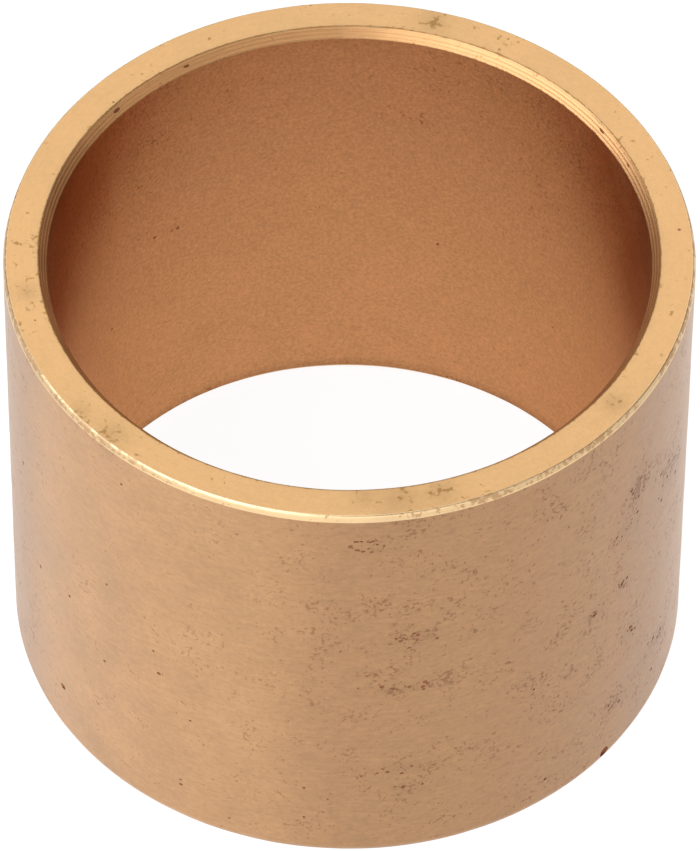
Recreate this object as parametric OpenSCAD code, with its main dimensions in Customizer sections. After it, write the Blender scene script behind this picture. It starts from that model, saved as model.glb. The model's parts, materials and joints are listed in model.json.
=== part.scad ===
// Plain sleeve bushing of cast bronze, turned all over: one solid ring with no flange, groove or oil hole.
// The origin is on the axis at the lower end face, and +Z runs up the bore. All sizes are in millimetres.

/* [Sleeve] */
// Diameter of the bore that the shaft runs in
bore_d = 35; // [20:0.5:60]
// Thickness of the wall between the bore and the outside
wall = 2.5; // [1.5:0.1:6]
// Length from end face to end face
length = 30.5; // [12:0.5:80]

/* [Ends] */
// How far each lead-in opens the bore's mouth, along the radius
lead_in_width = 0.44; // [0.2:0.02:0.8]
// How deep each lead-in reaches into the bore
lead_in_depth = 0.6; // [0.3:0.05:1.5]
// How far the break on each outside corner reaches in along the end face
edge_break_width = 0.2; // [0.05:0.05:0.5]
// How far the same break reaches along the outside
edge_break_depth = 0.45; // [0.05:0.05:1]

/* [Turning marks] */
// Number of feed grooves that the tool left across each lead-in
feed_grooves = 3; // [1:1:6]
// Depth of a feed groove at its middle, square to the lead-in's slope
groove_depth = 0.02; // [0.01:0.005:0.05]

/* [Hidden] */

bore_r = bore_d / 2;
outer_r = bore_r + wall;
mouth_r = bore_r + lead_in_width;

// Straight pieces that stand for the arc across one feed groove
arc_steps = 6;
lead_in_steps = feed_grooves * arc_steps;
// Direction that points from the lead-in's surface into the metal, square to its slope
lead_in_slant = norm([lead_in_width, lead_in_depth]);
into_metal = [lead_in_depth, -lead_in_width] / lead_in_slant;

$fn = 256;

// Depth of the feed grooves at a share t of the way along the lead-in: one arch for each groove.
function groove_at(t) = groove_depth * abs(sin(180 * feed_grooves * t));

// Outline of the upper lead-in as [radius, height], from the mouth down to the bore.
function upper_lead_in() = [
    for (i = [0 : lead_in_steps])
        let (t = i / lead_in_steps)
        [mouth_r - t * lead_in_width, length - t * lead_in_depth] + groove_at(t) * into_metal
];

// The same outline at the lower end, from the bore down to the mouth.
function lower_lead_in() = [
    for (i = [lead_in_steps : -1 : 0])
        let (point = upper_lead_in()[i])
        [point.x, length - point.y]
];

// Outside corners, from the lower end face round to the upper one.
function outside_corners() = [
    [outer_r - edge_break_width, 0],
    [outer_r, edge_break_depth],
    [outer_r, length - edge_break_depth],
    [outer_r - edge_break_width, length]
];

// The whole bushing: its wall's outline turned round the axis.
module sleeve() {
    color([0.80, 0.60, 0.38])
        rotate_extrude()
            polygon(concat(upper_lead_in(), lower_lead_in(), outside_corners()));
}

sleeve();
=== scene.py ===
import json
import math
import random

import bpy
import numpy as np
from mathutils import Matrix, Vector


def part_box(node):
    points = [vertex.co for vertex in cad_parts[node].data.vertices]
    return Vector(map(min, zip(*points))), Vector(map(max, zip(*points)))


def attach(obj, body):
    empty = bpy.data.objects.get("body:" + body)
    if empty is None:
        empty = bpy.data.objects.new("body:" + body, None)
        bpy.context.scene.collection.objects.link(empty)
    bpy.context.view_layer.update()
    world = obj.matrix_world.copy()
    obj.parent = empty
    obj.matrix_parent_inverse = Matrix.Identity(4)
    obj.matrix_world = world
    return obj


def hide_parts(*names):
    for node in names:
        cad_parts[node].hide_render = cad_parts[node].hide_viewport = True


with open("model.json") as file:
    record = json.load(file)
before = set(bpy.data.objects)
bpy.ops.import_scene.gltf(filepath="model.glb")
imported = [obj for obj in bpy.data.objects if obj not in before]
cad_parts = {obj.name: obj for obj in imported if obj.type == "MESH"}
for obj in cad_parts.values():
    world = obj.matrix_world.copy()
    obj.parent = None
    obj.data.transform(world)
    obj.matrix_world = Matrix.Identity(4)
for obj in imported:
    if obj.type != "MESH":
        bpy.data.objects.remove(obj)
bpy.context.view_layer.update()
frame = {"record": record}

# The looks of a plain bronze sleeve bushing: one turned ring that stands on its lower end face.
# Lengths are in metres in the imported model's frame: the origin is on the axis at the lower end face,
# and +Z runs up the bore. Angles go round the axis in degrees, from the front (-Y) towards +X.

MM = 0.001

# ---------------------------------------------------------------------------------------------
# Sizes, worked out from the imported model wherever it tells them
# ---------------------------------------------------------------------------------------------

sleeve_low, sleeve_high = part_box("sleeve")
mounts = {mount["name"]: mount for mount in frame["record"]["mounts"]}
bore_mount = mounts["shaft_bore"]["dims"]
seat_mount = mounts["housing_seat"]["dims"]

length = sleeve_high.z - sleeve_low.z
outer_r = sleeve_high.x
bore_r = bore_mount["r_mm"] * MM
wall = outer_r - bore_r
lead_in_depth = (length - bore_mount["length_mm"] * MM) / 2
break_depth = (length - seat_mount["length_mm"] * MM) / 2
# The record doesn't say how far in on the end face the corner's break reaches
break_width = 0.2 * MM
# The end face's mount is halfway across its flat, which runs from the mouth out to the break
face_middle = math.hypot(*mounts["upper_end_face"]["pos_m"][:2])
mouth_r = 2 * face_middle - (outer_r - break_width)
lead_in_width = mouth_r - bore_r

# ---------------------------------------------------------------------------------------------
# The ring's outline and the marks of use on it
# ---------------------------------------------------------------------------------------------

TURNED_SIDES = 384
FEED_GROOVES = 3
GROOVE_DEPTH = 0.02 * MM
GROOVE_STEPS = 6
# The break's steps, and how much it bends: 1 would be a flat chamfer
BREAK_STEPS = 7
BREAK_ROUNDING = 2.2
# How close to a corner the outline has an extra point, so that the corner shades crisply
CORNER_SUPPORT = 0.04 * MM
MOUTH_MARGIN = 0.2 * CORNER_SUPPORT
OUTSIDE_STEP = 0.45 * MM
BORE_STEP = 0.7 * MM
# How far in on the end face the painted shade line round the mouth reaches
MOUTH_SHADE_WIDTH = 0.13 * MM
FACE_STEP = 0.25 * MM
# Unevenness that the tool and handling left in the walls, the size of its waves, and the level of
# the waves' noise that leaves a point where it was
UNEVENNESS = 0.040 * MM
UNEVEN_WAVE = 3 * MM
UNEVEN_MIDDLE = 0.7

# Lone pits in the outside: angle, height as a share of the length, width in mm
LONE_PITS = [
    (-57, 0.13, 0.50),
    (-33, 0.41, 0.30),
    (-34, 0.47, 0.20),
    (-29, 0.10, 0.26),
    (-29, 0.115, 0.18),
    (-7, 0.19, 0.20),
    (-3, 0.16, 0.16),
    (-7, 0.10, 0.18),
    (-20, 0.05, 0.18),
    (-1, 0.61, 0.16),
    (-54, 0.44, 0.24),
    (-44, 0.58, 0.20),
    (-64, 0.41, 0.26),
    (-40, 0.91, 0.20),
    (-27, 0.31, 0.18),
    (-71, 0.63, 0.26),
    (-45, 0.34, 0.22),
    (36, 0.07, 0.26),
    (33, 0.37, 0.20),
    (46, 0.48, 0.34),
    (53, 0.50, 0.30),
]

# Patches of small pits in the outside: angle, height share, width and height in mm, how many
PIT_PATCHES = [
    (9, 0.64, 1.6, 1.0, 16),
    (13, 0.635, 2.0, 1.2, 18),
    (9, 0.49, 5.0, 0.9, 22),
    (11, 0.245, 3.6, 0.8, 18),
    (11, 0.185, 2.0, 0.9, 12),
    (46, 0.485, 1.4, 0.8, 8),
    (53, 0.495, 1.2, 0.9, 8),
    (54, 0.66, 2.2, 2.6, 20),
    (56, 0.74, 2.6, 2.8, 20),
    (70, 0.64, 4.0, 3.0, 26),
    (66, 0.17, 3.6, 2.6, 22),
    (56, 0.32, 2.0, 1.4, 12),
    (53, 0.15, 1.8, 1.4, 12),
    (150, 0.35, 4.0, 1.5, 20),
    (-120, 0.70, 3.0, 2.0, 18),
    (-165, 0.20, 2.5, 1.5, 16),
]

# Small pits that stand in a ring: angle, height share, width of the ring in mm, how many
PIT_RING = (3, 0.92, 1.5, 30)

# Bruises on the upper end face: angle, share of the way out across the face, width round in mm
FACE_BRUISES = [
    (-44, 0.70, 2.4),
    (-51, 0.85, 1.6),
    (9, 0.35, 3.2),
    (16, 0.40, 2.4),
    (3, 0.25, 1.6),
    (53, 0.45, 1.5),
    (-80, 0.40, 1.2),
    (165, 0.50, 2.0),
]

# Nicks in the upper lead-in: angle, width round in mm
LEAD_IN_NICKS = [
    (-129.5, 0.55),
    (-147, 0.40),
    (124, 0.50),
    (114, 0.35),
    (20, 0.35),
]

# A half-round nick near the outside corner at the lower end: angle and width in mm
CORNER_NICK = (50, 0.75)

# How deep each kind goes, as a share of its width
LONE_PIT_DEPTH = 0.25
PATCH_PIT_DEPTH = 0.13
RING_PIT_DEPTH = 0.25
LEAD_IN_NICK_DEPTH = 0.15
CORNER_NICK_DEPTH = 0.5

# How tall a lone pit is, and the least and most that a patch's pit can be, as shares of its width
LONE_PIT_TALL = 0.85
PATCH_PIT_TALL = (0.6, 1.1)
# How far along and up a ring's pit is drawn out, in its widths
RING_PIT_STRETCH = (2.2, 1.2)

# The smallest and largest pit in a patch and in the ring, in mm
PATCH_PIT_WIDTHS = (0.07, 0.31)
RING_PIT_WIDTHS = (0.05, 0.15)
# How unevenly the ring's pits stand: in steps round it, and in mm in and out. And how tall the ring
# is for its width
RING_STRAY = 1.5
RING_SPREAD = 0.20
RING_TALL = 0.7
# Where a lead-in's nick lies, as shares of the way out and down the lead-in, and how tall it is for
# its width
NICK_OUT = 0.55
NICK_DOWN = 0.45
NICK_TALL = 0.5
# How far up the corner's nick is, in its widths
CORNER_NICK_UP = 0.75

# The lump that cuts a pit: how bumpy it is, its least reach, and how far the bumps add to that
LUMP_BUMPS = 2.6
LUMP_LEAST = 0.6
LUMP_SWELL = 0.8

# An edge that turns more than this is shaded as a corner
CRISP_ANGLE = math.radians(32)

random.seed(7)


def outline():
    """The wall's closed outline as (distance out from the bore, height), from the upper mouth down."""
    slant = math.hypot(lead_in_width, lead_in_depth)
    into_metal = (lead_in_depth / slant, -lead_in_width / slant)
    groove_points = FEED_GROOVES * GROOVE_STEPS
    upper = []
    # The first point is left out, so that the burr on the mouth's corner is rubbed off
    for step in range(1, groove_points + 1):
        share = step / groove_points
        cut = GROOVE_DEPTH * abs(math.sin(math.pi * FEED_GROOVES * share))
        upper.append(
            (
                lead_in_width * (1 - share) + cut * into_metal[0],
                length - lead_in_depth * share + cut * into_metal[1],
            )
        )
    lower = [(out, length - height) for out, height in reversed(upper)]

    bore_top = length - lead_in_depth - CORNER_SUPPORT
    bore_bottom = lead_in_depth + CORNER_SUPPORT
    bore = [(0.0, height) for height in evenly(bore_top, bore_bottom, BORE_STEP)]

    # The break is a steep chamfer that is rubbed round where it leaves the end face
    corner = [
        (wall - break_width * (1 - share), break_depth * share**BREAK_ROUNDING)
        for share in evenly(0.0, 1.0, 1 / BREAK_STEPS)
    ]
    upper_corner = [(out, length - height) for out, height in reversed(corner)]

    face_start = lead_in_width + MOUTH_SHADE_WIDTH
    face_end = wall - break_width - CORNER_SUPPORT
    lower_face = [(lead_in_width + CORNER_SUPPORT, 0.0)]
    lower_face += [(out, 0.0) for out in evenly(face_start, face_end, FACE_STEP)]
    upper_face = [(out, length) for out, height in reversed(lower_face)]

    side_low = break_depth + CORNER_SUPPORT
    side = [(wall, height) for height in evenly(side_low, length - side_low, OUTSIDE_STEP)]
    return upper + bore + lower + lower_face + corner + side + upper_corner + upper_face


def evenly(start, end, step):
    """Values from start to end, both included, no further apart than step."""
    count = max(1, math.ceil(abs(end - start) / step))
    return [start + (end - start) * i / count for i in range(count + 1)]


def on_ring(angle, radius, height):
    """The point at an angle round the axis, a radius and a height."""
    turn = math.radians(angle)
    return Vector((radius * math.sin(turn), -radius * math.cos(turn), height))


# ---------------------------------------------------------------------------------------------
# Helpers for node trees
# ---------------------------------------------------------------------------------------------


def add(tree, kind, sockets=None, **settings):
    """Adds a node. Each of its sockets takes a plain value, or the output that feeds it."""
    made = tree.nodes.new(kind)
    for name, value in settings.items():
        setattr(made, name, value)
    for key, value in (sockets or {}).items():
        if isinstance(value, bpy.types.NodeSocket):
            tree.links.new(value, made.inputs[key])
        else:
            made.inputs[key].default_value = value
    return made


def maths(tree, operation, *values, clamp=False):
    """A Math node's output for these values."""
    made = add(tree, "ShaderNodeMath", dict(enumerate(values)), operation=operation)
    made.use_clamp = clamp
    return made.outputs[0]


def blend_colours(tree, share, first, second):
    """first turned into second by a share that may vary over the surface."""
    made = add(tree, "ShaderNodeMix", {0: share, 6: first, 7: second}, data_type="RGBA")
    return made.outputs[2]


def ramp(tree, value, low, high):
    """0 where value is under low, 1 where it is over high, and smooth between."""
    made = add(
        tree,
        "ShaderNodeMapRange",
        {"Value": value, "From Min": low, "From Max": high},
        interpolation_type="SMOOTHSTEP",
    )
    return made.outputs["Result"]


def geometry_tree(name, inputs):
    """A Geometry Nodes tree with a geometry input and output, and these named inputs."""
    tree = bpy.data.node_groups.new(name, "GeometryNodeTree")
    tree.interface.new_socket("Geometry", in_out="INPUT", socket_type="NodeSocketGeometry")
    tree.interface.new_socket("Geometry", in_out="OUTPUT", socket_type="NodeSocketGeometry")
    for label, kind in inputs.items():
        tree.interface.new_socket(label, in_out="INPUT", socket_type=kind)
    return tree, tree.nodes.new("NodeGroupInput"), tree.nodes.new("NodeGroupOutput")


def shaped(piece, tree, values):
    """The plain mesh that a tree makes of a piece, with these values on the tree's named inputs."""
    modifier = piece.modifiers.new(tree.name, "NODES")
    modifier.node_group = tree
    for item in tree.interface.items_tree:
        if item.in_out == "INPUT" and item.name in values:
            modifier[item.identifier] = values[item.name]
    graph = bpy.context.evaluated_depsgraph_get()
    mesh = bpy.data.meshes.new_from_object(piece.evaluated_get(graph))
    piece.modifiers.remove(modifier)
    return mesh


def placed(name, mesh):
    """A new object that shows a mesh where the mesh says."""
    piece = bpy.data.objects.new(name, mesh)
    bpy.context.scene.collection.objects.link(piece)
    return piece


# ---------------------------------------------------------------------------------------------
# Bronze finishes
# ---------------------------------------------------------------------------------------------

BRONZE = (0.58, 0.348, 0.158)
OUTSIDE_BRONZE = (0.478, 0.254, 0.112)
BORE_BRONZE = (0.535, 0.245, 0.105)
LEAD_IN_BRONZE = (0.66, 0.345, 0.145)
# Brightened bronze that paints the highlight along the upper corner's edge
CORNER_HIGHLIGHT_BRONZE = (0.88, 0.610, 0.330)
BROWN = (0.26, 0.090, 0.030, 1.0)
OLIVE = (0.30, 0.165, 0.045, 1.0)
DARK_BROWN = (0.19, 0.070, 0.030, 1.0)
OXIDE = (0.28, 0.085, 0.036, 1.0)

# Clouds of wear: their size, and how far they swing the tone and the dullness
CLOUD_SIZE = 4 * MM
CLOUD_TONE = 0.32
CLOUD_DULLNESS = 0.15
# How much the full tarnish, with the painted shade and highlight it carries, darkens; under 0 it
# lightens
PAINTED_LIGHT_AND_TARNISH_TONE = 0.24
# Flecks lie in clusters, and the clusters' noise, the tarnish with its painted light and the clouds
# each make them likelier; the painted highlight under 0 makes them rarer. How much each counts, and
# over what rise of the noise a fleck fades in
CLUSTER_SIZE = 1.6 * MM
CLUSTER_WEIGHT = 0.45
PAINTED_LIGHT_AND_TARNISH_WEIGHT = 0.20
CLOUD_WEIGHT = 0.40
FLECK_FADE = 0.14
# How much duller a fleck and a speck are than bare bronze, how deep they are in mm, how strongly a
# speck is coloured, and its soft rim as a share of its width
FLECK_DULLNESS = 0.12
FLECK_DEPTH = 0.003
SPECK_DULLNESS = 0.20
SPECK_DEPTH = 0.02
SPECK_STRENGTH = 0.60
SPECK_RIM = 0.25
# How large the blotches of the skin inside a pit are
SKIN_PATCH = 0.12 * MM
# The oil film's own roughness, and the turn that lays the stretched shine across the lathe marks
FILM_ROUGHNESS = 0.25
QUARTER_TURN = 0.25


def noise(tree, place, size, detail=2.0, rough=0.5):
    """Soft noise from 0 to 1 whose blotches are about size across."""
    made = add(
        tree,
        "ShaderNodeTexNoise",
        {"Vector": place, "Scale": 1 / size, "Detail": detail, "Roughness": rough},
    )
    return made.outputs["Fac"]


def along_marks(tree, place, pitch, reach):
    """Where a point is, told in pitches across the lathe marks and reaches along them."""
    split = add(tree, "ShaderNodeSeparateXYZ", {0: place})
    out = maths(
        tree,
        "SQRT",
        maths(
            tree,
            "ADD",
            maths(tree, "MULTIPLY", split.outputs[0], split.outputs[0]),
            maths(tree, "MULTIPLY", split.outputs[1], split.outputs[1]),
        ),
    )
    across = maths(tree, "ADD", out, split.outputs[2])
    return add(
        tree,
        "ShaderNodeCombineXYZ",
        {
            0: maths(tree, "MULTIPLY", split.outputs[0], 1 / reach),
            1: maths(tree, "MULTIPLY", split.outputs[1], 1 / reach),
            2: maths(tree, "MULTIPLY", across, 1 / pitch),
        },
    ).outputs[0]


def specks(tree, place, spacing, biggest, share):
    """1 inside scattered specks: one in each cell of a spacing, present in a share of the cells."""
    cells = add(tree, "ShaderNodeTexVoronoi", {"Vector": place, "Scale": 1 / spacing})
    chance = add(tree, "ShaderNodeSeparateColor", {0: cells.outputs["Color"]})
    size = maths(tree, "MULTIPLY", chance.outputs[1], biggest / spacing)
    inside = maths(tree, "SUBTRACT", size, cells.outputs["Distance"])
    soft = ramp(tree, inside, 0.0, SPECK_RIM * biggest / spacing)
    present = maths(tree, "LESS_THAN", chance.outputs[0], share)
    return maths(tree, "MULTIPLY", soft, present)


def level(tree, value):
    """Noise from 0 to 1 moved to vary about 0."""
    return maths(tree, "SUBTRACT", value, 0.5)


def bronze(
    name,
    colour,
    roughness,
    shine_across,
    lines,
    dashes,
    grain,
    dents,
    flecks,
    spots,
    film=0.0,
    edge_tint=(1.0, 1.0, 1.0, 1.0),
):
    """Bronze as one tool left it and handling marked it.

    shine_across stretches highlights across the lathe marks. film is how much oil lies on the
    surface, and edge_tint tints the bronze where it is seen at a slant.
    lines and dashes are lathe marks, long and short: (pitch, reach, depth, tone). grain is (size,
    depth, tone) and dents is (size, depth). flecks is (size, least, strength, colour), where
    least is how high the noise stands that makes one. spots is (spacing, biggest, share).
    """
    material = bpy.data.materials.new(name)
    material.use_nodes = True
    tree = material.node_tree
    tree.nodes.clear()
    place = add(tree, "ShaderNodeTexCoord").outputs["Object"]

    clouds = level(tree, noise(tree, place, CLOUD_SIZE, detail=5.0, rough=0.65))
    layers = []
    for pitch, reach, depth, tone in (lines, dashes):
        stretched = along_marks(tree, place, pitch, reach)
        marks = noise(tree, stretched, 1.0, detail=4.0, rough=0.65)
        layers.append((level(tree, marks), depth, tone))
    grain_size, grain_depth, grain_tone = grain
    grains = level(tree, noise(tree, place, grain_size, detail=3.0, rough=0.6))
    layers.append((grains, grain_depth, grain_tone))
    dent_size, dent_depth = dents
    layers.append((level(tree, noise(tree, place, dent_size)), dent_depth, 0.0))

    # The tarnish attribute also holds painted shade and painted highlight; it darkens the tone, and
    # lightens it under 0
    tarnish_and_painted_light = add(tree, "ShaderNodeAttribute", attribute_name="tarnish_and_painted_light").outputs["Fac"]
    tone = maths(tree, "MULTIPLY_ADD", clouds, CLOUD_TONE, 1.0)
    tone = maths(tree, "MULTIPLY_ADD", tarnish_and_painted_light, -PAINTED_LIGHT_AND_TARNISH_TONE, tone)
    height = 0.0
    for layer, layer_depth, layer_tone in layers:
        height = maths(tree, "MULTIPLY_ADD", layer, layer_depth / MM, height)
        if layer_tone:
            tone = maths(tree, "MULTIPLY_ADD", layer, layer_tone, tone)
    shade = add(tree, "ShaderNodeVectorMath", {0: colour, "Scale": tone}, operation="SCALE")

    fleck_size, least, strength, fleck_colour = flecks
    chance = noise(tree, place, fleck_size, detail=3.0, rough=0.6)
    clusters = level(tree, noise(tree, place, CLUSTER_SIZE))
    chance = maths(tree, "MULTIPLY_ADD", clusters, CLUSTER_WEIGHT, chance)
    chance = maths(tree, "MULTIPLY_ADD", tarnish_and_painted_light, PAINTED_LIGHT_AND_TARNISH_WEIGHT, chance)
    chance = maths(tree, "MULTIPLY_ADD", clouds, CLOUD_WEIGHT, chance)
    flecked = ramp(tree, chance, least, least + FLECK_FADE)
    stained = blend_colours(
        tree,
        maths(tree, "MULTIPLY", flecked, strength),
        shade.outputs[0],
        fleck_colour,
    )

    dots = specks(tree, place, *spots)
    dot_share = maths(tree, "MULTIPLY", dots, SPECK_STRENGTH)
    coloured = blend_colours(tree, dot_share, stained, OXIDE)

    dull = maths(tree, "MULTIPLY_ADD", flecked, FLECK_DULLNESS, roughness)
    dull = maths(tree, "MULTIPLY_ADD", clouds, CLOUD_DULLNESS, dull)
    dull = maths(tree, "MULTIPLY_ADD", dots, SPECK_DULLNESS, dull, clamp=True)

    height = maths(tree, "MULTIPLY_ADD", dots, -SPECK_DEPTH, height)
    height = maths(tree, "MULTIPLY_ADD", flecked, -FLECK_DEPTH, height)
    bump = add(tree, "ShaderNodeBump", {"Height": height, "Distance": MM})
    tangent = add(tree, "ShaderNodeTangent", direction_type="RADIAL", axis="Z")
    surface = add(
        tree,
        "ShaderNodeBsdfPrincipled",
        {
            "Base Color": coloured,
            "Metallic": 1.0,
            "Roughness": dull,
            "Anisotropic": shine_across,
            "Anisotropic Rotation": QUARTER_TURN,
            "Specular Tint": edge_tint,
            "Coat Weight": film,
            "Coat Roughness": FILM_ROUGHNESS,
            "Normal": bump.outputs[0],
            "Tangent": tangent.outputs[0],
        },
    )
    add(tree, "ShaderNodeOutputMaterial", {"Surface": surface.outputs[0]})
    return material


def pit_skin():
    """The dark skin inside a pit."""
    material = bpy.data.materials.new("pit_skin")
    material.use_nodes = True
    tree = material.node_tree
    tree.nodes.clear()
    place = add(tree, "ShaderNodeTexCoord").outputs["Object"]
    patchy = noise(tree, place, SKIN_PATCH, detail=3.0)
    colour = blend_colours(tree, patchy, OXIDE, BROWN)
    surface = add(
        tree,
        "ShaderNodeBsdfPrincipled",
        {"Base Color": colour, "Metallic": 0.3, "Roughness": 0.6},
    )
    add(tree, "ShaderNodeOutputMaterial", {"Surface": surface.outputs[0]})
    return material


outside_finish = bronze(
    "turned_outside",
    OUTSIDE_BRONZE,
    roughness=0.36,
    shine_across=0.97,
    film=0.50,
    lines=(0.22 * MM, 6 * MM, 0.0005 * MM, 0.10),
    dashes=(0.22 * MM, 0.7 * MM, 0.0030 * MM, 0.42),
    grain=(0.30 * MM, 0.0010 * MM, 0.30),
    dents=(0.9 * MM, 0.0100 * MM),
    flecks=(0.25 * MM, 0.580, 0.50, BROWN),
    spots=(0.9 * MM, 0.13 * MM, 0.10),
)
face_finish = bronze(
    "faced_end",
    BRONZE,
    roughness=0.38,
    shine_across=0.3,
    lines=(0.20 * MM, 8 * MM, 0.0003 * MM, 0.04),
    dashes=(0.30 * MM, 0.6 * MM, 0.0010 * MM, 0.16),
    grain=(0.16 * MM, 0.0012 * MM, 0.16),
    dents=(1.2 * MM, 0.0040 * MM),
    flecks=(0.34 * MM, 0.655, 0.65, OLIVE),
    spots=(1.0 * MM, 0.11 * MM, 0.18),
)
lead_in_finish = bronze(
    "grooved_lead_in",
    LEAD_IN_BRONZE,
    roughness=0.42,
    shine_across=0.3,
    lines=(0.06 * MM, 9 * MM, 0.0010 * MM, 0.20),
    dashes=(0.12 * MM, 0.5 * MM, 0.0010 * MM, 0.15),
    grain=(0.12 * MM, 0.0010 * MM, 0.10),
    dents=(0.5 * MM, 0.0020 * MM),
    flecks=(0.30 * MM, 0.64, 0.40, BROWN),
    spots=(1.0 * MM, 0.07 * MM, 0.15),
)
bore_finish = bronze(
    "bored_inside",
    BORE_BRONZE,
    roughness=0.36,
    shine_across=0.2,
    edge_tint=(0.66, 0.50, 0.46, 1.0),
    lines=(0.30 * MM, 5 * MM, 0.0002 * MM, 0.03),
    dashes=(0.22 * MM, 0.5 * MM, 0.0010 * MM, 0.16),
    grain=(0.20 * MM, 0.0080 * MM, 0.75),
    dents=(0.8 * MM, 0.0050 * MM),
    flecks=(0.24 * MM, 0.73, 0.45, DARK_BROWN),
    spots=(1.3 * MM, 0.15 * MM, 0.10),
)
# The upper corner's bronze is brightened to paint the highlight along its edge
corner_highlight_finish = bronze(
    "corner_painted_highlight",
    CORNER_HIGHLIGHT_BRONZE,
    roughness=0.30,
    shine_across=0.3,
    lines=(0.05 * MM, 6 * MM, 0.0006 * MM, 0.14),
    dashes=(0.10 * MM, 0.5 * MM, 0.0010 * MM, 0.14),
    grain=(0.12 * MM, 0.0008 * MM, 0.10),
    dents=(0.6 * MM, 0.0060 * MM),
    flecks=(0.30 * MM, 0.60, 0.45, BROWN),
    spots=(1.2 * MM, 0.08 * MM, 0.12),
)
FINISHES = [outside_finish, face_finish, lead_in_finish, bore_finish, corner_highlight_finish]
OUTSIDE, FACE, LEAD_IN, BORE, CORNER = range(len(FINISHES))

# ---------------------------------------------------------------------------------------------
# The turned blank: the outline swept round the axis
# ---------------------------------------------------------------------------------------------


def turning_tree():
    """Sweeps an outline round the axis and leaves the walls slightly uneven."""
    tree, given, result = geometry_tree(
        "turn_outline",
        {
            "Bore Radius": "NodeSocketFloat",
            "Sides": "NodeSocketInt",
            "Unevenness": "NodeSocketFloat",
            "Wave": "NodeSocketFloat",
            "Finish": "NodeSocketMaterial",
        },
    )
    circle = add(
        tree,
        "GeometryNodeCurvePrimitiveCircle",
        {"Resolution": given.outputs["Sides"], "Radius": given.outputs["Bore Radius"]},
    )
    rail = add(tree, "GeometryNodeSetCurveNormal", {0: circle.outputs[0]}, mode="Z_UP")
    # The outline is drawn upright, and a profile lies flat, so it is laid down first
    flat = add(
        tree,
        "GeometryNodeTransform",
        {
            0: add(tree, "GeometryNodeMeshToCurve", {0: given.outputs["Geometry"]}).outputs[0],
            "Rotation": (math.pi / 2, 0.0, 0.0),
        },
    )
    ring = add(tree, "GeometryNodeCurveToMesh", {0: rail.outputs[0], 1: flat.outputs[0]})
    waves = add(
        tree,
        "ShaderNodeTexNoise",
        {
            "Scale": maths(tree, "DIVIDE", 1.0, given.outputs["Wave"]),
            "Detail": 2.0,
        },
    )
    lift = maths(
        tree,
        "MULTIPLY",
        maths(tree, "SUBTRACT", waves.outputs[0], UNEVEN_MIDDLE),
        given.outputs["Unevenness"],
    )
    normal = add(tree, "GeometryNodeInputNormal")
    offset = add(
        tree,
        "ShaderNodeVectorMath",
        {0: normal.outputs[0], "Scale": lift},
        operation="SCALE",
    )
    uneven = add(
        tree,
        "GeometryNodeSetPosition",
        {"Geometry": ring.outputs[0], "Offset": offset.outputs[0]},
    )
    whole = add(tree, "GeometryNodeRealizeInstances", {0: uneven.outputs[0]})
    finished = add(
        tree,
        "GeometryNodeSetMaterial",
        {"Geometry": whole.outputs[0], "Material": given.outputs["Finish"]},
    )
    tree.links.new(finished.outputs[0], result.inputs[0])
    return tree


def turned_blank():
    """The ring as the lathe left it, with each face in the finish of the tool that cut it."""
    points = outline()
    count = len(points)
    drawn = bpy.data.meshes.new("outline")
    drawn.from_pydata(
        [(out, 0.0, height) for out, height in points],
        [(i, (i + 1) % count) for i in range(count)],
        [],
    )
    pattern = placed("outline", drawn)
    mesh = shaped(
        pattern,
        turning_tree(),
        {
            "Bore Radius": bore_r,
            "Sides": TURNED_SIDES,
            "Unevenness": UNEVENNESS,
            "Wave": UNEVEN_WAVE,
            "Finish": outside_finish,
        },
    )
    bpy.data.objects.remove(pattern)
    for finish in FINISHES[1:]:
        mesh.materials.append(finish)
    mesh.polygons.foreach_set("material_index", zones(mesh))
    return mesh


def zones(mesh):
    """Which finish each face has, from where its middle is."""
    middles = np.array([face.center for face in mesh.polygons])
    radius = np.hypot(middles[:, 0], middles[:, 1])
    height = middles[:, 2]
    from_end = np.minimum(height, length - height)
    kind = np.full(len(middles), OUTSIDE)
    # A little past the mouth's edge, so that the rubbed-off burr counts as lead-in
    inner = radius < mouth_r + MOUTH_MARGIN
    kind[inner] = np.where(from_end[inner] < lead_in_depth, LEAD_IN, BORE)
    on_face = ~inner & (radius < outer_r - break_width) & (from_end < break_depth / 2)
    kind[on_face] = FACE
    # Only the upper corner gets the brightened bronze that paints its highlight
    kind[~inner & ~on_face & (height > length - break_depth)] = CORNER
    return kind


# ---------------------------------------------------------------------------------------------
# Pits and nicks, cut out of the blank
# ---------------------------------------------------------------------------------------------


def lone_pits():
    """The pits that stand alone in the outside."""
    cuts = []
    for angle, share, width_mm in LONE_PITS:
        width = width_mm * MM
        cuts.append(
            (angle, outer_r, share * length, width, LONE_PIT_TALL * width, LONE_PIT_DEPTH * width)
        )
    return cuts


def patch_pits():
    """The pits in the patches, thickest in each patch's middle and mostly small."""
    cuts = []
    smallest, largest = PATCH_PIT_WIDTHS
    for angle, share, wide, high, count in PIT_PATCHES:
        for _ in range(count):
            # A patch reaches two spreads of the scatter to each side
            turn = angle + math.degrees(random.gauss(0, wide / 4) * MM / outer_r)
            height = share * length + random.gauss(0, high / 4) * MM
            width = (smallest + (largest - smallest) * random.random() ** 3) * MM
            tall = random.uniform(*PATCH_PIT_TALL)
            cuts.append((turn, outer_r, height, width, tall * width, PATCH_PIT_DEPTH * width))
    return cuts


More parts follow.
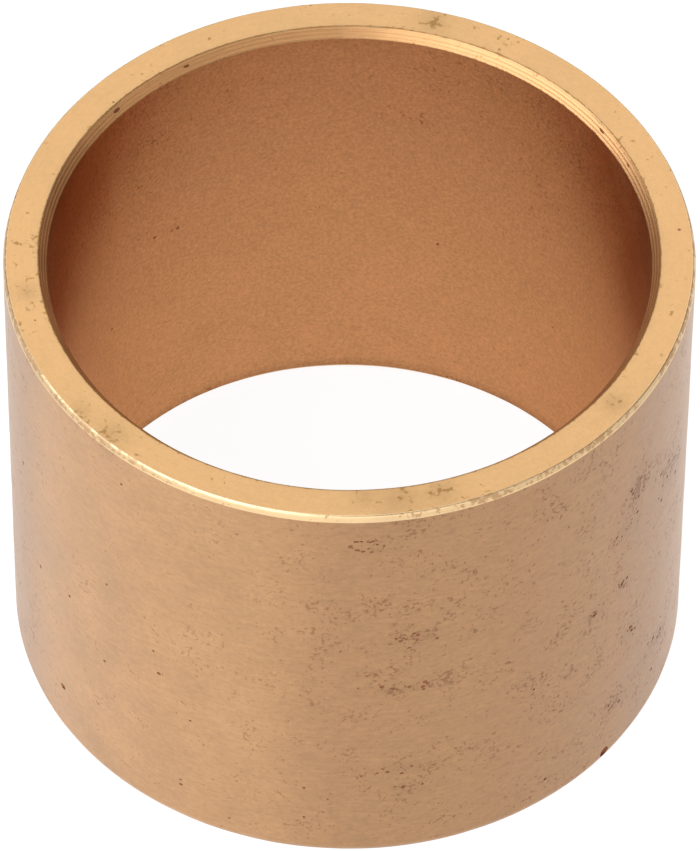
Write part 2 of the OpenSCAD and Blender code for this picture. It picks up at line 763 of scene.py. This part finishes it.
def ring_pits():
    """The pits that stand in an uneven ring, each longer round the axis than up it."""
    cuts = []
    angle, share, wide, count = PIT_RING
    along, upward = RING_PIT_STRETCH
    for step in range(count):
        turn = 2 * math.pi * (step + random.uniform(-RING_STRAY, RING_STRAY)) / count
        reach = random.gauss(wide / 2, RING_SPREAD) * MM
        width = random.uniform(*RING_PIT_WIDTHS) * MM
        around = angle + math.degrees(reach * math.cos(turn) / outer_r)
        height = share * length + RING_TALL * reach * math.sin(turn)
        cuts.append(
            (around, outer_r, height, along * width, upward * width, RING_PIT_DEPTH * width)
        )
    return cuts


def nicks():
    """The nicks halfway down the upper lead-in, and the one at the lower corner."""
    radius = bore_r + NICK_OUT * lead_in_width
    height = length - NICK_DOWN * lead_in_depth
    cuts = []
    for angle, width_mm in LEAD_IN_NICKS:
        width = width_mm * MM
        cuts.append((angle, radius, height, width, NICK_TALL * width, LEAD_IN_NICK_DEPTH * width))
    angle, width_mm = CORNER_NICK
    width = width_mm * MM
    cuts.append((angle, outer_r, CORNER_NICK_UP * width, width, width, CORNER_NICK_DEPTH * width))
    return cuts


def pit_places():
    """Each pit and nick as (angle, radius, height, width round, width up, depth)."""
    return lone_pits() + patch_pits() + ring_pits() + nicks()


def pitting_tree():
    """Cuts a lumpy blob out of a ring at each place."""
    tree, given, result = geometry_tree(
        "cut_pits",
        {
            "Places": "NodeSocketObject",
            "Skin": "NodeSocketMaterial",
        },
    )
    places = add(tree, "GeometryNodeObjectInfo", {"Object": given.outputs["Places"]})
    # The blob is 1 across, and each place's size scales it
    lump = add(tree, "GeometryNodeMeshIcoSphere", {"Radius": 0.5, "Subdivisions": 2})
    dents = add(tree, "ShaderNodeTexNoise", {"Scale": LUMP_BUMPS, "Detail": 1.0})
    position = add(tree, "GeometryNodeInputPosition")
    swell = maths(tree, "MULTIPLY_ADD", dents.outputs[0], LUMP_SWELL, LUMP_LEAST)
    uneven = add(
        tree,
        "ShaderNodeVectorMath",
        {0: position.outputs[0], "Scale": swell},
        operation="SCALE",
    )
    blob = add(
        tree,
        "GeometryNodeSetPosition",
        {"Geometry": lump.outputs[0], "Position": uneven.outputs[0]},
    )
    skinned = add(
        tree,
        "GeometryNodeSetMaterial",
        {"Geometry": blob.outputs[0], "Material": given.outputs["Skin"]},
    )
    turn = add(tree, "GeometryNodeInputNamedAttribute", {"Name": "turn"}, data_type="FLOAT_VECTOR")
    size = add(tree, "GeometryNodeInputNamedAttribute", {"Name": "size"}, data_type="FLOAT_VECTOR")
    facing = add(tree, "FunctionNodeEulerToRotation", {0: turn.outputs[0]})
    cutters = add(
        tree,
        "GeometryNodeInstanceOnPoints",
        {
            "Points": places.outputs["Geometry"],
            "Instance": skinned.outputs[0],
            "Rotation": facing.outputs[0],
            "Scale": size.outputs[0],
        },
    )
    cut = add(
        tree,
        "GeometryNodeMeshBoolean",
        {
            "Mesh 1": given.outputs["Geometry"],
            "Mesh 2": cutters.outputs[0],
        },
        operation="DIFFERENCE",
        solver="MANIFOLD",
    )
    smooth = add(
        tree,
        "GeometryNodeSetShadeSmooth",
        {0: cut.outputs[0], "Shade Smooth": True},
        domain="FACE",
    )
    tree.links.new(smooth.outputs[0], result.inputs[0])
    return tree


def keep_edges_crisp(mesh):
    """Shades an edge as a corner where two tools' cuts meet, or where the surface turns sharply."""
    count = len(mesh.polygons)
    finish = np.zeros(count, int)
    mesh.polygons.foreach_get("material_index", finish)
    normals = np.zeros(3 * count)
    mesh.polygons.foreach_get("normal", normals)
    normals = normals.reshape(count, 3)
    face_of_corner = np.repeat(np.arange(count), [len(face.vertices) for face in mesh.polygons])
    edge_of_corner = np.zeros(len(mesh.loops), int)
    mesh.loops.foreach_get("edge_index", edge_of_corner)
    # The ring is closed, so that every edge lies between exactly two faces
    pairs = face_of_corner[np.argsort(edge_of_corner, kind="stable")].reshape(-1, 2)
    one, other = pairs[:, 0], pairs[:, 1]
    bend = np.einsum("ij,ij->i", normals[one], normals[other])
    crisp = (finish[one] != finish[other]) | (bend < math.cos(CRISP_ANGLE))
    mesh.attributes.new("sharp_edge", "BOOLEAN", "EDGE").data.foreach_set("value", crisp)


def pitted(blank):
    """The blank with its pits and nicks cut out of it."""
    cuts = pit_places()
    spots = bpy.data.meshes.new("pit_places")
    spots.from_pydata([on_ring(*cut[:3]) for cut in cuts], [], [])
    turns = spots.attributes.new("turn", "FLOAT_VECTOR", "POINT")
    turns.data.foreach_set("vector", [v for cut in cuts for v in (0.0, 0.0, math.radians(cut[0]))])
    sizes = spots.attributes.new("size", "FLOAT_VECTOR", "POINT")
    sizes.data.foreach_set("vector", [v for cut in cuts for v in (cut[3], 2 * cut[5], cut[4])])
    places = placed("pit_places", spots)
    ring = placed("blank", blank)
    mesh = shaped(
        ring,
        pitting_tree(),
        {"Places": places, "Skin": pit_skin()},
    )
    bpy.data.objects.remove(ring)
    bpy.data.objects.remove(places)
    # The cut numbers the skin one past its place among the materials, which is the last
    worn = np.zeros(len(mesh.polygons), int)
    mesh.polygons.foreach_get("material_index", worn)
    mesh.polygons.foreach_set("material_index", np.minimum(worn, len(mesh.materials) - 1))
    keep_edges_crisp(mesh)
    return mesh


# ---------------------------------------------------------------------------------------------
# Tarnish, painted shade and highlight, and the flat layout of the surface
# ---------------------------------------------------------------------------------------------

# How tarnished the pit patches and the bruises are. 1 is full, and under 0 is lighter than usual,
# which paints a highlight
PATCH_TARNISH = 0.40
BRUISE_TARNISH = 0.7
# How much the bore darkens towards its top, the painted shade added at its left and right sides where
# the bore mirrors its own dark inside, and from which share of the length up both start
BORE_TOP_DARKENING = 0.50
BORE_SIDE_PAINTED_SHADE = 0.75
BORE_DARKENING_START = 0.25
# The stained line above the lower lead-in, and the painted shade line round the mouth's edge
STAIN_LINE_SPREAD = 0.5 * MM
MOUTH_SHADE_SPREAD = 0.6 * MOUTH_SHADE_WIDTH
MOUTH_PAINTED_SHADE = 1.8
# Where round the axis the upper corner's painted highlight lies, how far to each side it reaches,
# and the painted shade that darkens the corner further round
CORNER_HIGHLIGHT_ANGLE = -6
CORNER_HIGHLIGHT_SPREAD = 26
CORNER_SHADE_PAST_HIGHLIGHT = 0.9
# How much of the corner's break counts as corner, so that its painted shade keeps off its neighbours
CORNER_SHARE = 0.9
# Where the painted highlight on the outside's left front is strongest, how far to each side it
# reaches, and how much it lightens the tone and thins the flecks there
LEFT_HIGHLIGHT_ANGLE = -45
LEFT_HIGHLIGHT_SPREAD = 30
LEFT_PAINTED_HIGHLIGHT = 0.30


def bell(distance, spread):
    """1 at no distance, falling smoothly to nearly 0 two spreads away."""
    return np.exp(-((distance / spread) ** 2))


def patch_tarnish(points):
    """The tarnish in the patches of pits and in the end face's bruises."""
    stains = []
    for angle, share, wide, high, _ in PIT_PATCHES:
        middle = on_ring(angle, outer_r, share * length)
        stains.append((middle, wide * MM / 2, high * MM / 2, PATCH_TARNISH))
    for angle, share, wide in FACE_BRUISES:
        middle = on_ring(angle, mouth_r + share * (outer_r - mouth_r), length)
        stains.append((middle, wide * MM / 2, wide * MM / 2, BRUISE_TARNISH))
    amount = np.zeros(len(points))
    for middle, wide, high, strength in stains:
        apart = points - np.array(middle)
        beside = np.hypot(apart[:, 0], apart[:, 1])
        amount = np.maximum(amount, strength * bell(beside, wide) * bell(apart[:, 2], high))
    return amount


def bore_shade_and_stain(points, radius):
    """The bore's darkening: more towards the top, painted shade at the left and right sides, and a
    stained line above the lower lead-in.
    """
    height = points[:, 2]
    upper = np.clip(height / length - BORE_DARKENING_START, 0, 1) / (1 - BORE_DARKENING_START)
    # Darker towards the top, with painted shade at the left and right sides where the bore mirrors its
    # own dark inside
    side = (points[:, 0] / bore_r) ** 2
    dull = upper * (BORE_TOP_DARKENING + BORE_SIDE_PAINTED_SHADE * side)
    line = bell(height - lead_in_depth, STAIN_LINE_SPREAD)
    return np.maximum(dull, line) * (radius < bore_r + UNEVENNESS)


def stain_and_paint_light(mesh):
    """Writes each point's tarnish together with painted light: painted shade at the bore's sides,
    round the mouth and past the corner's highlight, and a painted highlight on the outside's left
    front.
    """
    points = np.array([vertex.co for vertex in mesh.vertices])
    radius = np.hypot(points[:, 0], points[:, 1])
    turn = np.degrees(np.arctan2(points[:, 0], -points[:, 1]))
    upper_half = points[:, 2] > length / 2
    out_there = radius > outer_r - CORNER_SHARE * break_width
    up_there = points[:, 2] > length - CORNER_SHARE * break_depth
    corner = out_there & up_there
    outside = (radius > outer_r - UNEVENNESS) & ~corner

    # A painted shade line along the upper mouth's edge
    mouth_shade_line = bell(radius - mouth_r, MOUTH_SHADE_SPREAD) * upper_half * (radius > mouth_r)
    # Painted shade that darkens the upper corner away from its painted highlight at the front
    past_highlight = (1 - bell(turn - CORNER_HIGHLIGHT_ANGLE, CORNER_HIGHLIGHT_SPREAD)) * corner
    layers = [
        patch_tarnish(points),
        bore_shade_and_stain(points, radius),
        MOUTH_PAINTED_SHADE * mouth_shade_line,
        CORNER_SHADE_PAST_HIGHLIGHT * past_highlight,
    ]
    amount = np.maximum.reduce(layers)
    # A painted highlight on the outside's left front: lighter, and with fewer flecks
    amount -= LEFT_PAINTED_HIGHLIGHT * bell(turn - LEFT_HIGHLIGHT_ANGLE, LEFT_HIGHLIGHT_SPREAD) * outside
    mesh.attributes.new("tarnish_and_painted_light", "FLOAT", "POINT").data.foreach_set("value", amount)


# Height of each strip of the layout, as shares of the sheet: outside, bore, and the two end faces
STRIP_SHARES = (0.46, 0.36, 0.07, 0.07)
STRIP_GAP = 0.01
# How much of the sheet's width a strip takes
STRIP_WIDTH = 0.995


def unroll(mesh):
    """Lays the surface out flat in four strips, each unrolled round the axis."""
    layer = mesh.uv_layers.new(name="OFBake")
    face_of_corner = np.repeat(
        np.arange(len(mesh.polygons)), [len(face.vertices) for face in mesh.polygons]
    )
    corner_point = np.array([loop.vertex_index for loop in mesh.loops])
    points = np.array([vertex.co for vertex in mesh.vertices])
    middles = np.array([face.center for face in mesh.polygons])

    face_turn = np.arctan2(middles[:, 0], -middles[:, 1])[face_of_corner]
    place = points[corner_point]
    turn = np.arctan2(place[:, 0], -place[:, 1])
    turn += 2 * math.pi * np.round((face_turn - turn) / (2 * math.pi))
    across = 0.5 + STRIP_WIDTH * turn / (2 * math.pi)

    radius = np.hypot(middles[:, 0], middles[:, 1])
    height = middles[:, 2]
    flat = (radius > mouth_r) & (radius < outer_r - break_width)
    strip = np.where(radius < mouth_r, 1, 0)
    strip[flat & (height > length / 2)] = 2
    strip[flat & (height < length / 2)] = 3
    strip = strip[face_of_corner]

    out = np.hypot(place[:, 0], place[:, 1])
    share = np.where(strip < 2, place[:, 2] / length, (out - mouth_r) / (outer_r - mouth_r))
    starts = np.cumsum([STRIP_GAP] + [s + STRIP_GAP for s in STRIP_SHARES[:-1]])
    up = starts[strip] + np.array(STRIP_SHARES)[strip] * np.clip(share, 0, 1)
    layer.data.foreach_set("uv", np.column_stack([across, up]).ravel())


sleeve_mesh = pitted(turned_blank())
stain_and_paint_light(sleeve_mesh)
unroll(sleeve_mesh)
sleeve = placed("bronze_sleeve", sleeve_mesh)
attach(sleeve, "root")
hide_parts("sleeve")

# ---------------------------------------------------------------------------------------------
# Floor, light and camera
# ---------------------------------------------------------------------------------------------

FLOOR_SIZE = 4.0
FIBRE_SIZE = 2 * MM
# The floor shines a little, as a lit tabletop does
FLOOR_GLOW = 0.93
FLOOR_DARK = (0.14, 0.14, 0.14, 1.0)
FLOOR_PALE = (0.16, 0.16, 0.16, 1.0)
WHITE = (1.0, 1.0, 1.0)

ROOM_COLOUR = (0.95, 0.97, 1.0, 1.0)
ROOM_GLOW = 0.36
# Each soft light: angle round the axis, height above the horizon, distance, width, height, glow
# and tint. Angles are in degrees
SOFTBOXES = {
    "back_softbox": (180, 50, 0.7, 0.9, 0.6, 1.27, WHITE),
    "left_softbox": (-60, 28, 0.7, 1.26, 0.8, 2.5, (0.88, 1.0, 1.13)),
    "top_softbox": (0, 78, 0.8, 0.7, 0.45, 1.0, WHITE),
    "front_card": (8, 12, 1.0, 1.05, 0.45, 1.15, WHITE),
    "right_card": (62, 15, 1.0, 1.0, 0.45, 0.8, WHITE),
}


def floor_finish():
    """Plain pale card."""
    material = bpy.data.materials.new("pale_card")
    material.use_nodes = True
    tree = material.node_tree
    tree.nodes.clear()
    place = add(tree, "ShaderNodeTexCoord").outputs["Object"]
    fibres = noise(tree, place, FIBRE_SIZE, detail=3.0)
    colour = blend_colours(tree, fibres, FLOOR_DARK, FLOOR_PALE)
    surface = add(
        tree,
        "ShaderNodeBsdfPrincipled",
        {
            "Base Color": colour,
            "Roughness": 0.9,
            "Specular IOR Level": 0.0,
            "Emission Color": (*WHITE, 1.0),
            "Emission Strength": FLOOR_GLOW,
        },
    )
    add(tree, "ShaderNodeOutputMaterial", {"Surface": surface.outputs[0]})
    return material


def lay_floor():
    """A wide plain floor under the sleeve."""
    half = FLOOR_SIZE / 2
    mesh = bpy.data.meshes.new("floor")
    mesh.from_pydata(
        [(-half, -half, 0), (half, -half, 0), (half, half, 0), (-half, half, 0)],
        [],
        [(0, 1, 2, 3)],
    )
    mesh.materials.append(floor_finish())
    floor = placed("floor", mesh)


def softbox(name, angle, elevation, distance, width, height, glow, tint):
    """A soft light aimed at the sleeve. glow is how bright its front looks."""
    light = bpy.data.lights.new(name, "AREA")
    light.shape = "RECTANGLE"
    light.size = width
    light.size_y = height
    light.energy = glow * math.pi * width * height
    light.color = tint
    lamp = bpy.data.objects.new(name, light)
    lamp.visible_camera = False
    middle = Vector((0, 0, length / 2))
    flat = distance * math.cos(math.radians(elevation))
    lamp.location = on_ring(angle, flat, distance * math.sin(math.radians(elevation))) + middle
    lamp.rotation_euler = (middle - lamp.location).to_track_quat("-Z", "Y").to_euler()
    bpy.context.scene.collection.objects.link(lamp)


def light_studio():
    """Softboxes behind, at the left and overhead, two low cards in front, and a dim pale room."""
    world = bpy.data.worlds.new("pale_room")
    world.use_nodes = True
    background = world.node_tree.nodes["Background"]
    background.inputs["Color"].default_value = ROOM_COLOUR
    background.inputs["Strength"].default_value = ROOM_GLOW
    bpy.context.scene.world = world
    for name, values in SOFTBOXES.items():
        softbox(name, *values)


# How the camera stands: its height above the horizon and its roll in degrees, its distance in
# outside radii, where it aims to the right in outside radii and up the sleeve as a share of the
# length, its lens and sensor in mm, and how near in metres it can see
VIEW_ELEVATION = 49.36
VIEW_ROLL = 0.41
VIEW_DISTANCE = 24.81
VIEW_SIDE_AIM = 0.005
VIEW_AIM = 0.4974
LENS = 355.2
SENSOR = 36.0
NEAREST_SEEN = 0.01


def set_camera():
    """A long lens that looks down into the bore from the front."""
    camera = bpy.data.cameras.new("camera")
    camera.lens = LENS
    camera.sensor_width = SENSOR
    camera.clip_start = NEAREST_SEEN
    holder = bpy.data.objects.new("camera", camera)
    tilt = math.radians(VIEW_ELEVATION)
    roll = math.radians(VIEW_ROLL)
    back = Vector((0, -math.cos(tilt), math.sin(tilt)))
    sideways = Vector((1, 0, 0))
    upright = Vector((0, math.sin(tilt), math.cos(tilt)))
    right = math.cos(roll) * sideways + math.sin(roll) * upright
    up = math.cos(roll) * upright - math.sin(roll) * sideways
    aim = Vector((VIEW_SIDE_AIM * outer_r, 0, VIEW_AIM * length))
    place = aim + VIEW_DISTANCE * outer_r * back
    holder.matrix_world = Matrix.Translation(place) @ Matrix((right, up, back)).transposed().to_4x4()
    bpy.context.scene.collection.objects.link(holder)
    bpy.context.scene.camera = holder


lay_floor()
light_studio()
set_camera()
bpy.context.scene.view_settings.view_transform = "Standard"
